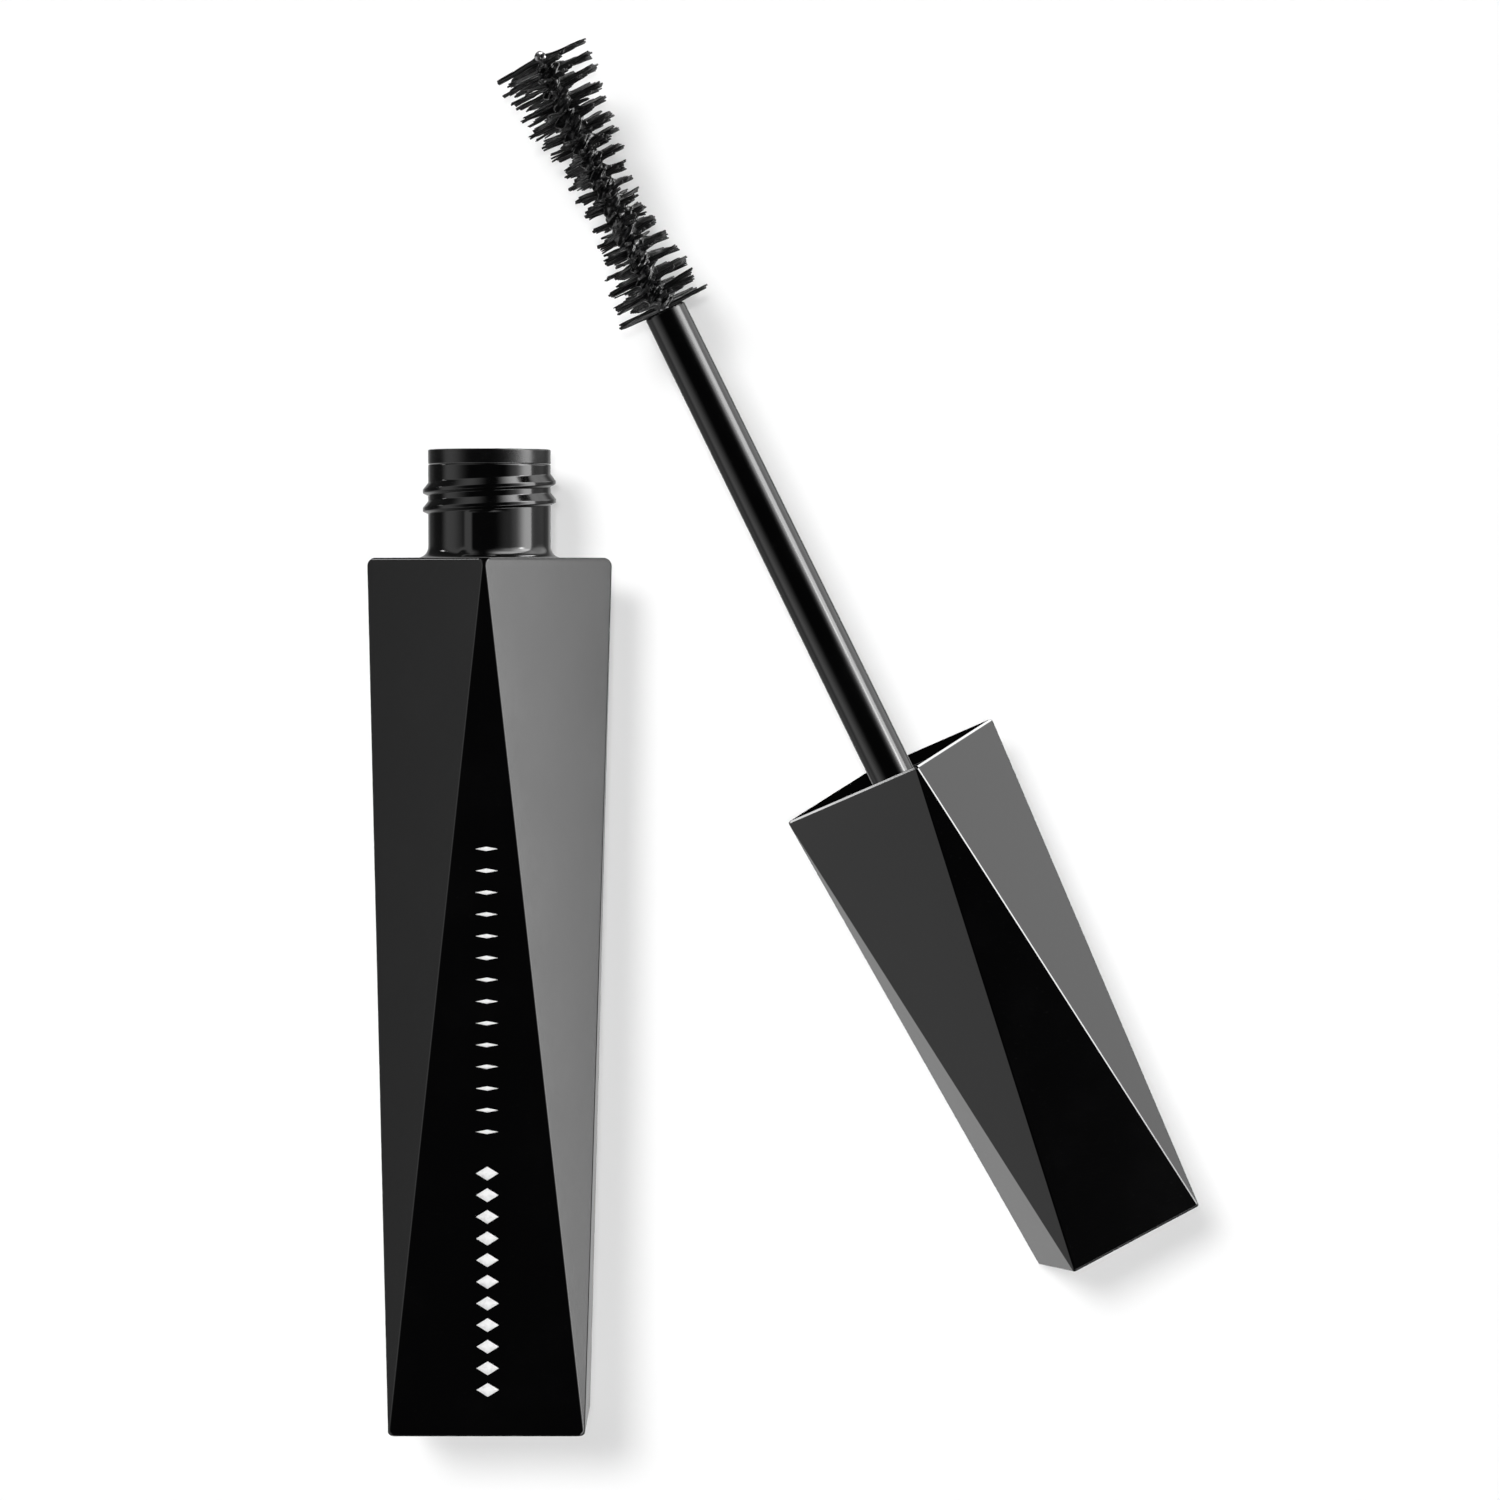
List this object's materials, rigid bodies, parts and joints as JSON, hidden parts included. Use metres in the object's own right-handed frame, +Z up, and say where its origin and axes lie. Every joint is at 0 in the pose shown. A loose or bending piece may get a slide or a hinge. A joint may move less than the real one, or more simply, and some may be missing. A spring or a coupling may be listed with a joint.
{
  "type": "mascara tube",
  "caption": "Faceted mascara tube, open, with its threaded neck and wiper, and its screw cap with rod and hourglass brush lying beside it.",
  "frame": {"origin": "on the surface under the bottle, on the facet it lies on, 26 mm up the bottle from its base", "axes": "+Z up from the surface, +Y along the bottle from base to neck, +X across towards the applicator"},
  "size_m": [0.0746, 0.1248, 0.0219],
  "materials": {
    "bottle_plastic": "polished black, moulded",
    "wiper_plastic": "soft satin black",
    "cream": "wet black paste",
    "washer_rubber": "matt",
    "cap_plastic": "polished black, moulded",
    "inner_cap_plastic": "satin black",
    "rod_plastic": "polished black",
    "wire_steel": "bright twisted wire under a film of paste",
    "bristle_fibre": "black nylon fibre coated in paste"
  },
  "bodies": {
    "bottle": {"bottle": "bottle_plastic", "wiper": "wiper_plastic", "mascara_cream": "cream"},
    "washer": {"sealing_washer": "washer_rubber"},
    "applicator": {"cap_shell": "cap_plastic", "inner_cap": "inner_cap_plastic", "rod": "rod_plastic", "brush_wire": "wire_steel", "bristles": "bristle_fibre"}
  },
  "joints": [
    {"name": "applicator_swing", "type": "hinge", "parent": "bottle", "child": "washer", "pos_m": [0.00674, 0.08078, 0.00731], "axis": [-0.1383, -0.0778, 0.9873], "range_deg": [0, 154.38]},
    {"name": "cap_turn", "type": "hinge", "parent": "washer", "child": "applicator", "pos_m": [0.036, 0.0329, 0.01031], "axis": [-0.4407, 0.8957, 0.0588], "range_deg": [0, 540]}
  ]
}
